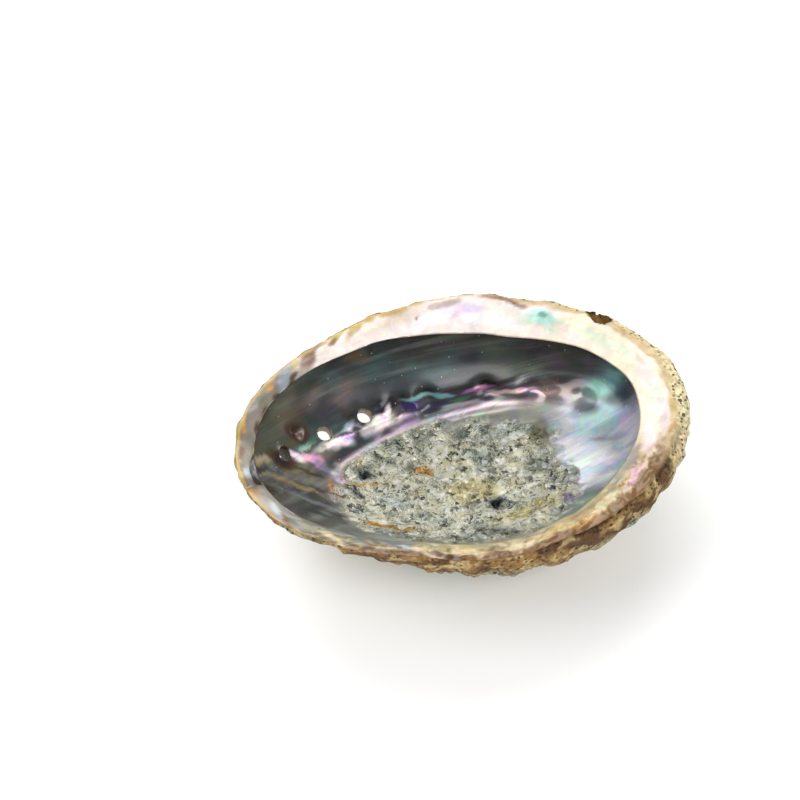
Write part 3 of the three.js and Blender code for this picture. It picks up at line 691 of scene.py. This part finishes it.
def paint_inside(p, x, y):
    ridge_r, ridge_gap = coil(p, RIDGE)
    pale_r, pale_gap = coil(p, PALE_LINE)
    along = smooth(ridge_r, 38, 50) * (1 - smooth(pale_r, 86, 96))
    scar = scar_mask(p, pale_gap)
    far = smooth(-ridge_gap, 1.5, 5.5) * smooth(y, 4, 14)
    c = mix(np.zeros((len(p), 3)), "8c9288", np.ones(len(p)))
    c = mix(c, "9ca292", 1 - smooth(y, -34, -20))
    c = mix(c, "b6c4c8", smooth(x, 36, 48) * (1 - far))
    # The far wall above the ridge is painted dark: partly the nacre's deeper colour, partly painted shade and
    # painted dark reflection.
    c = mix(c, "363a36", far)
    # Darkest towards its top, as painted shade under the shelf's overhang.
    c = mix(c, "191a19", far * smooth(p[:, 2], -20, -7))
    c = mix(c, "5c6046", (1 - smooth(x, -54, -30)) * smooth(y, 0, 12) * 0.85)
    c = mix(c, "363a30", (1 - smooth(x, -46, -28)) * (1 - smooth(y, -2, 6)) * 0.9)
    strands = rough(np.c_[ridge_gap * 0.42, ridge_r * 0.07, np.zeros(len(p))], 1.6, 3, 83.0)
    smooth_nacre = (1 - scar) * smooth(ridge_r, 34, 50)
    c = mix(c, "3a3a3a", smooth(strands, 0.1, 0.6) * smooth_nacre * 0.45)
    c = mix(c, "96a29a", smooth(-strands, 0.12, 0.6) * smooth_nacre * 0.35)
    clouds = rough(p, 12, 3, 87.0)
    c = mix(c, "3c625c", smooth(clouds, 0.1, 0.5) * far * 0.5)
    c = mix(c, "5a5068", smooth(-clouds, 0.2, 0.6) * far * 0.4)
    c = mix(c, "7c9088", smooth(clouds, 0.15, 0.5) * smooth_nacre * (1 - far) * 0.35)
    c = mix(c, "2e2c32", between(pale_gap, -10, -0.4, 1.2) * along * 0.7)
    c = mix(c, "deddd4", scar)
    patch = rough(p, 8, 4, 21.0)
    c = mix(c, "7e847e", scar * smooth(patch, 0.02, 0.4) * 0.8)
    c = mix(c, "dccfa8", scar * smooth(-patch, 0.1, 0.5) * 0.4)
    for marks in (FAR_WALL, RIGHT_WALL):
        c = patches(c, x, y, marks, crisp=False)
    for marks in (SCAR, NEAR_WALL, BAND):
        c = patches(c, x, y, marks)
    reach = between(pale_r, 47, 88, 5)
    c = mix(c, "443c46", bell(pale_gap + 2.2, 0.9) * reach * 0.7)
    return mix(c, "ddd2dc", bell(pale_gap, 0.8) * reach * 0.9)


def paint_shelf(p, angle, way, x, y):
    side = np.degrees(angle)
    c = mix(np.zeros((len(p), 3)), "ece2d8", np.ones(len(p)))
    spire_end = between((side + 180) % 360 - 180, -35, 45, 10)
    c = mix(c, "ebe2c8", spire_end)
    front = between(side, 210, 335, 15)
    c = mix(c, "ae9860", front)
    c = mix(c, "7a7464", between(side, 146, 191, 7))
    c = mix(c, "5e6454", between(side, 190, 232, 8) * 0.9)
    worn = rough(p, 6, 3, 31.0)
    torn = rough(p * np.array((1, 1, 0.2)), 3.4, 4, 33.0)
    c = mix(c, "a9884a", (1 - smooth(way, 0.02, 0.22)) * smooth(worn, -0.35, 0.25) * 0.8)
    c = mix(c, "bca04e", between(side, 100, 190, 8) * (1 - smooth(way + 0.2 * torn, 0.08, 0.26)) * 0.9)
    ragged = way + 0.28 * torn
    c = mix(c, "76542a", front * (1 - smooth(ragged, 0.2, 0.36)) * 0.95)
    c = mix(c, "5c3f1e", front * bell(ragged - 0.3, 0.05) * 0.75)
    c = mix(c, "dccc9a", front * bell(ragged - 0.42, 0.06) * 0.75)
    c = mix(c, "745c34", front * bell(ragged - 0.56, 0.05) * 0.7)
    c = mix(c, "c8bc94", front * bell(ragged - 0.72, 0.08) * 0.5)
    c = mix(c, "b4965a", (1 - smooth(way + 0.08 * torn, 0.02, 0.1)) * (1 - front) * 0.75)
    return patches(c, x, y, shelf_patches())


def paint_crust(p, angle, way):
    a, b, e = rough(p, 16, 3, 41.0), rough(p, 7, 3, 47.0), rough(p, 3.2, 2, 53.0)
    c = mix(np.zeros((len(p), 3)), "a68c5a", np.ones(len(p)))
    c = mix(c, "86967a", smooth(a, -0.02, 0.3) * 0.9)
    c = mix(c, "82a68e", smooth(a + 0.4 * b, 0.25, 0.5) * 0.8)
    c = mix(c, "6c4c28", smooth(-a + 0.3 * b, 0.08, 0.4) * 0.9)
    c = mix(c, "d8c696", smooth(b, 0.22, 0.42) * 0.8)
    c = mix(c, "a03e32", smooth(e, 0.42, 0.52) * smooth(-b, 0.0, 0.2) * 0.7)
    knob = bell(np.hypot(p[:, 0] - SPIRE[0], p[:, 1] - SPIRE[1]), 24)
    c = mix(c, "d8ccb0", knob * 0.9)
    side = np.degrees(angle)
    ledge = 1 - smooth(-p[:, 2], 8, 18)
    spire_end = 1 - smooth(np.abs((side + 180) % 360 - 180), 38, 62)
    c = mix(c, "e6d6a8", ledge * spire_end * (0.95 - 0.3 * smooth(b, 0, 0.3)))
    front = between(side, 205, 329, 11)
    c = mix(c, "94703a", ledge * front * 0.95)
    c = mix(c, "543416", ledge * front * smooth(a + 0.5 * b, -0.08, 0.2) * 0.9)
    c = mix(c, "c8b27c", ledge * front * smooth(-b + 0.4 * e, 0.1, 0.35) * 0.7)
    # The groove where the crust stands off below the lip is painted dark, as shade in it.
    gap = bell(way - 0.045, 0.018) * under_lip(angle)
    return mix(c, "4a3218", gap * smooth(b + 0.3, -0.1, 0.3) * 0.9)


# How far the marks' edges wander in x and y, in mm, how near a cut point is to its hole, and the
# place in x beyond which a hole's bore is painted dark, as shade deep in the hole.
WANDER = (1.5, 1.1)
HOLE_REACH = 15
DARK_HOLE_X = -48


def paint(obj, kind, way, made):
    p = vertex_places(obj.data) / MM @ np.array(TO_ROW) + np.array(REST)
    angle = np.arctan2(p[:, 1], p[:, 0] - DOME_X) % TAU
    in_chip = made & (np.linalg.norm(p - CHIP, axis=-1) < CHIP_LENGTH)
    holes = np.array([in_row(number) for number, _, _, _, _ in OPEN_HOLES])
    in_bore = made & ~in_chip & (np.linalg.norm(p[:, None] - holes, axis=-1).min(1) < HOLE_REACH)
    wx = p[:, 0] + WANDER[0] * rough(p, 7, 2, 61.0)
    wy = p[:, 1] + WANDER[1] * rough(p, 7, 2, 67.0)
    from_rim = rim(angle) - np.hypot(p[:, 0] - DOME_X, p[:, 1])
    rim_way = np.clip(from_rim / band(angle), 0, 1)
    front = between(np.degrees(angle), 195, 332, 11)
    inner, on_shelf, outer = kind == INSIDE, kind == ON_SHELF, kind == OUTSIDE
    lip = np.where(inner, front * (1 - smooth(way, 0.02, 0.3)), 1)
    lip = np.where(on_shelf, 1 - 0.35 * front * smooth(rim_way, 0.6, 1), lip)
    ragged = 0.03 + 0.025 * rough(p, 5, 3, 71.0)
    crust = np.where(outer, smooth(way, ragged * 0.4, ragged), 0)
    tint = paint_inside(p, wx, wy)
    tint += (paint_shelf(p, angle, rim_way, wx, wy) - tint) * lip[:, None]
    tint += (paint_crust(p, angle, way) - tint) * crust[:, None]
    tint[in_chip] = colour("8a6630") * (0.8 + 0.7 * rough(p[in_chip], 2.2, 3, 91.0))[:, None].clip(0.3, 1.6)
    tint[in_bore] = colour("8c744c")
    # Bores past that place are painted dark brown, as shade deep inside them.
    tint[in_bore & (p[:, 0] < DARK_HOLE_X)] = colour("3a220c")
    crust[in_chip], crust[in_bore] = 1, 0.4
    lip[made] = 0
    ridge_r, ridge_gap = coil(p, RIDGE)
    foil = np.where(inner, scar_mask(p, coil(p, PALE_LINE)[1]) * (1 - lip), 0)
    ridge_band = bell(ridge_gap + 1, 7) * smooth(ridge_r, 34, 48) * inner
    right = smooth(p[:, 0], 34, 46) * inner * (1 - foil)
    metal = np.where(lip > 0.5, 0.06, 0.24 + 0.24 * foil + 0.1 * ridge_band + 0.08 * right) * (1 - crust)
    brightness = tint.mean(1)
    metal *= 1 - 0.8 * smooth(brightness, 0.3, 0.75) * (1 - foil)
    gloss = (0.36 - 0.14 * ridge_band - 0.1 * right - 0.08 * foil) * (1 - crust) + 0.9 * crust
    add_attribute(obj.data, "tint", "FLOAT_COLOR", np.c_[tint, np.ones(len(tint))])
    add_attribute(obj.data, "masks", "FLOAT_VECTOR", np.c_[crust, foil, np.maximum(ridge_band, 0.35 * right)])
    add_attribute(obj.data, "wall", "FLOAT", inner * (1 - lip))
    add_attribute(obj.data, "metal", "FLOAT", metal)
    add_attribute(obj.data, "gloss", "FLOAT", gloss)
    wound = smooth(ridge_r, 42, 64)
    across = np.where(inner, ridge_gap * wound + p[:, 1] * 0.6 * (1 - wound), rim_way * 10)
    along = ridge_r * 0.12 * wound + p[:, 0] * 0.15 * (1 - wound)
    add_attribute(obj.data, "streak", "FLOAT_VECTOR", np.c_[across, along, p[:, 2] * 0.12])


def add_attribute(mesh, name, form, values):
    layer = mesh.attributes.new(name, form, "POINT")
    key = {"FLOAT_COLOR": "color", "FLOAT_VECTOR": "vector", "FLOAT": "value"}[form]
    layer.data.foreach_set(key, values.astype(np.float32).ravel())


# Materials


class Graph:
    """Short calls for building a material's nodes."""

    def __init__(self, name):
        self.material = bpy.data.materials.new(name)
        self.material.use_nodes = True
        self.tree = self.material.node_tree
        self.shader = self.tree.nodes["Principled BSDF"]

    def put(self, socket, value):
        if isinstance(value, bpy.types.NodeSocket):
            self.tree.links.new(value, socket)
        elif value is not None:
            socket.default_value = value

    def node(self, kind, inputs=(), **settings):
        n = self.tree.nodes.new("ShaderNode" + kind)
        for k, v in settings.items():
            setattr(n, k, v)
        for k, v in dict(inputs).items():
            self.put(n.inputs[k], v)
        return n

    def attribute(self, name, output="Vector"):
        return self.node("Attribute", attribute_name=name).outputs[output]

    def maths(self, operation, *values):
        n = self.node("Math", operation=operation)
        for socket, value in zip(n.inputs, values):
            self.put(socket, value)
        return n.outputs[0]

    def total(self, *values):
        out = values[0]
        for value in values[1:]:
            out = self.maths("ADD", out, value)
        return out

    def product(self, *values):
        out = values[0]
        for value in values[1:]:
            out = self.maths("MULTIPLY", out, value)
        return out

    def vector(self, operation, *values, output=0):
        n = self.node("VectorMath", operation=operation)
        for socket, value in zip(n.inputs, values):
            self.put(socket, value)
        return n.outputs[output]

    def span(self, value, low, high, to_low=0.0, to_high=1.0):
        n = self.node("MapRange", interpolation_type="SMOOTHSTEP")
        limits = (("From Min", low), ("From Max", high), ("To Min", to_low), ("To Max", to_high))
        for key, v in (("Value", value), *limits):
            self.put(n.inputs[key], v)
        return n.outputs[0]

    def noise(self, vector, size, detail=3.0, distortion=0.0, output="Fac"):
        inputs = {"Vector": vector, "Scale": 1 / size, "Detail": detail, "Distortion": distortion}
        return self.node("TexNoise", {**inputs, "Roughness": 0.55}).outputs[output]

    def cells(self, vector, size, feature="F1"):
        return self.node("TexVoronoi", {"Vector": vector, "Scale": 1 / size}, feature=feature).outputs

    def blend(self, a, b, share, mode="MIX"):
        n = self.node("Mix", data_type="RGBA", blend_type=mode)
        self.put(n.inputs[0], share)
        self.put(n.inputs[6], a)
        self.put(n.inputs[7], b)
        return n.outputs[2]

    def lit(self, base, light, share=1.0):
        """The colour times a grey amount, by a share."""
        n = self.node("CombineColor", {0: light, 1: light, 2: light})
        return self.blend(base, n.outputs[0], share, "MULTIPLY")

    def ramp(self, value, stops):
        n = self.node("ValToRGB", {"Fac": value})
        ramp = n.color_ramp
        while len(ramp.elements) < len(stops):
            ramp.elements.new(0.5)
        for element, (place, text) in zip(ramp.elements, stops):
            element.position = place
            element.color = (*colour(text), 1)
        return n.outputs["Color"]


PEARL_HUES = (
    (0.0, "f0b8d8"), (0.2, "f6e2c0"), (0.38, "c2ecc0"), (0.55, "a8e4e4"),
    (0.72, "c4b4f0"), (0.86, "f2b6dc"), (1.0, "f4e6bc"),
)
# Tones of the scar's flakes, from painted shade through their own colours to a painted white glint.
FLAKE_HUES_AND_SHADES = (
    (0.0, "2c302e"), (0.2, "6c706c"), (0.36, "b4ae9a"), (0.48, "8c9694"),
    (0.6, "d8d0b6"), (0.7, "bcc8ca"), (0.8, "e2d4de"), (0.9, "ffffff"),
)


def shell_material():
    g = Graph("nacre_and_crust")
    place = g.vector("SCALE", g.node("TexCoord").outputs["Object"])
    place.node.inputs["Scale"].default_value = 1 / MM
    tint = g.attribute("tint", "Color")
    crust, foil, pearl = g.node("SeparateXYZ", {0: g.attribute("masks")}).outputs
    streak = g.attribute("streak")
    nacre = g.maths("SUBTRACT", 1.0, crust)

    # Pearly colour play: soft clouds and streaks of pink, gold, green and blue.
    clouds = g.noise(place, 8.0, 3.0, 1.2)
    lines = g.noise(g.vector("MULTIPLY", streak, (0.8, 0.6, 0.8)), 3.2, 4.0, 1.4)
    phase = g.total(g.product(clouds, 1.1), g.product(lines, 0.9))
    play = g.ramp(g.maths("FRACT", g.product(phase, 1.9)), PEARL_HUES)
    play = g.lit(play, 1.28)
    wall = g.attribute("wall", "Fac")
    amount = g.total(0.16, g.product(pearl, 0.24), g.product(wall, 0.16))
    base = g.blend(tint, g.blend(tint, play, 1.0, "MULTIPLY"), g.product(amount, nacre))
    smooth_part = g.product(wall, g.maths("SUBTRACT", 1.0, foil))
    base = g.lit(base, g.span(lines, 0.3, 0.7, 0.78, 1.18), smooth_part)
    mottle = g.maths("MULTIPLY", nacre, g.maths("SUBTRACT", 1.0, wall))
    base = g.lit(base, g.span(g.noise(place, 5.0, 5.0, 0.8), 0.3, 0.7, 0.86, 1.08), mottle)

    # Small bright specks in the smooth nacre.
    speckle = g.span(g.cells(place, 3.4)["Distance"], 0.05, 0.09, 0.7, 0.0)
    base = g.blend(base, (0.9, 0.9, 0.88, 1), g.product(speckle, smooth_part, 0.6))

    # The muscle scar: crumpled flakes, each tilted its own way, with broken dark creases; its tones carry
    # painted light, glints and shade.
    bend = g.vector("SUBTRACT", g.noise(place, 3.0, 4.0, 0.0, "Color"), (0.5, 0.5, 0.5))
    warped = g.vector("MULTIPLY_ADD", bend, (8.5, 7.0, 6.0), place)
    flat = g.vector("MULTIPLY", warped, (0.72, 1.2, 1.0))
    flakes = g.cells(flat, 1.8)
    slant = g.vector("SUBTRACT", flakes["Color"], (0.5, 0.5, 0.5))
    local = g.vector("SUBTRACT", flat, flakes["Position"])
    facet = g.vector("DOT_PRODUCT", local, slant, output="Value")
    wrinkle = g.maths("ABSOLUTE", g.maths("SUBTRACT", g.noise(flat, 2.4, 4.0, 1.6), 0.5))
    chance = g.node("SeparateColor", {0: flakes["Color"]}).outputs[0]
    small = g.noise(flat, 1.0, 4.0, 1.8)
    # Each flake's tone leans with its tilt, as painted light and shade, besides its own chance colour.
    pick = g.total(g.product(chance, 0.62), g.product(small, 0.75), g.product(facet, 0.3), -0.2)
    foil_tint_and_light = g.lit(g.blend(tint, g.ramp(pick, FLAKE_HUES_AND_SHADES), 1.0, "MULTIPLY"), 4.9)
    # The brightest flakes are painted white glints.
    foil_tint_and_light = g.blend(foil_tint_and_light, (0.92, 0.94, 0.92, 1), g.span(pick, 0.72, 0.82, 0.0, 0.95))
    # The creases are painted near black, as shade in them.
    crease = g.product(g.span(wrinkle, 0.012, 0.05, 1.0, 0.0), g.span(g.noise(place, 4.0, 2.0), 0.34, 0.5))
    foil_tint_and_light = g.blend(foil_tint_and_light, (0.03, 0.033, 0.03, 1), g.product(crease, 0.8))
    base = g.blend(base, foil_tint_and_light, foil)

    # The crust: speckled, with dark pores, painted near black as shade in the holes that the bump only dents.
    speck = g.span(g.noise(place, 1.3, 4.0, 0.4), 0.3, 0.7, 0.6, 1.28)
    stone = g.lit(tint, speck)
    pore_at = g.vector("MULTIPLY_ADD", g.noise(place, 2.0, 1.0, 0.0, "Color"), (0.9, 0.9, 0.9), place)
    pores = g.span(g.cells(pore_at, 1.6)["Distance"], 0.2, 0.34, 1.0, 0.0)
    pit = g.product(pores, g.span(g.noise(place, 6.0, 2.0), 0.34, 0.54))
    pit = g.maths("MAXIMUM", pit, g.span(g.cells(pore_at, 4.2)["Distance"], 0.13, 0.24, 0.95, 0.0))
    stone = g.blend(stone, (*colour("2e2010"), 1), g.product(pit, 0.9))
    base = g.blend(base, stone, crust)

    # Relief finer than the mesh.
    fine = g.product(g.noise(g.vector("MULTIPLY", streak, (1.0, 0.4, 0.5)), 2.2, 4.0), smooth_part, 0.05)
    crumple = g.product(g.total(g.product(facet, 1.0), g.product(small, 0.6), g.product(wrinkle, 4.0)), foil)
    holes = g.product(g.maths("SUBTRACT", g.product(speck, 0.35), g.product(pit, 0.7)), crust)
    height = g.total(fine, crumple, holes)
    bump = g.node("Bump", {"Height": height, "Strength": 1.0, "Distance": 0.001})
    dull = g.product(g.maths("SUBTRACT", lines, 0.5), 0.08)

    g.put(g.shader.inputs["Base Color"], base)
    g.put(g.shader.inputs["Metallic"], g.attribute("metal", "Fac"))
    g.put(g.shader.inputs["Roughness"], g.total(g.attribute("gloss", "Fac"), dull))
    g.put(g.shader.inputs["Normal"], bump.outputs[0])
    g.put(g.shader.inputs["Coat Weight"], g.product(nacre, 0.3))
    g.shader.inputs["Coat Roughness"].default_value = 0.16
    return g.material


paint(shell, kind, way, made)
shell.data.materials.clear()
shell.data.materials.append(shell_material())
shell.data.shade_smooth()


# Camera, floor and light

VIEW_HEIGHT = math.radians(50.0)
VIEW_TURN = math.radians(-16.4)
VIEW_DISTANCE = 620.0
VIEW_ANGLE = math.radians(24.4)
VIEW_TARGET = Vector((-14.1, 14.6, 0.0))
FLOOR_HALF = 6.0
FLOOR_GREY = 0.97

# Soft lights: name, place, size and power. Each is aimed at the middle of the shell.
LIGHT_AIM = (0, 0, 0.03)
LIGHTS = (
    ("over_back", (0.1, 0.75, 0.95), (1.3, 0.7), 10),
    ("over_left", (-0.8, 0.1, 0.8), (0.6, 0.9), 5),
    ("front", (0.2, -0.8, 0.9), (1.1, 0.5), 8),
)


def add_camera():
    back = Vector((math.sin(VIEW_TURN), -math.cos(VIEW_TURN), math.tan(VIEW_HEIGHT))).normalized()
    right = Vector((math.cos(VIEW_TURN), math.sin(VIEW_TURN), 0))
    up = back.cross(right)
    turn = Matrix((right, up, back)).transposed()
    data = bpy.data.cameras.new("camera")
    data.sensor_width = 36
    data.angle = VIEW_ANGLE
    data.clip_start = 0.01
    data.clip_end = 20
    camera = bpy.data.objects.new("camera", data)
    place = TO_ROW @ (VIEW_TARGET + back * VIEW_DISTANCE - REST) * MM
    camera.matrix_world = Matrix.Translation(place) @ (TO_ROW @ turn).to_4x4()
    bpy.context.scene.collection.objects.link(camera)
    bpy.context.scene.camera = camera


def add_floor():
    corners = np.array([(-1, -1, 0), (1, -1, 0), (1, 1, 0), (-1, 1, 0)]) * FLOOR_HALF
    floor = mesh_object("floor", corners, [[0, 1, 2, 3]])
    material = bpy.data.materials.new("floor")
    material.use_nodes = True
    shader = material.node_tree.nodes["Principled BSDF"]
    shader.inputs["Base Color"].default_value = (FLOOR_GREY, FLOOR_GREY, FLOOR_GREY, 1)
    shader.inputs["Roughness"].default_value = 0.9
    floor.data.materials.append(material)


def add_light(name, place, size, power):
    data = bpy.data.lights.new(name, "AREA")
    data.shape = "RECTANGLE"
    data.size, data.size_y = size
    data.energy = power
    light = bpy.data.objects.new(name, data)
    light.location = place
    light.rotation_euler = (Vector(place) - Vector(LIGHT_AIM)).to_track_quat("Z", "Y").to_euler()
    bpy.context.scene.collection.objects.link(light)


def add_world():
    world = bpy.data.worlds.new("studio")
    world.use_nodes = True
    background = world.node_tree.nodes["Background"]
    background.inputs["Color"].default_value = (0.97, 0.98, 1.0, 1)
    background.inputs["Strength"].default_value = 0.42
    bpy.context.scene.world = world


add_camera()
add_floor()
add_world()
for light in LIGHTS:
    add_light(*light)
bpy.context.scene.view_settings.view_transform = "Standard"

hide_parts("shell")
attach(shell, "root")
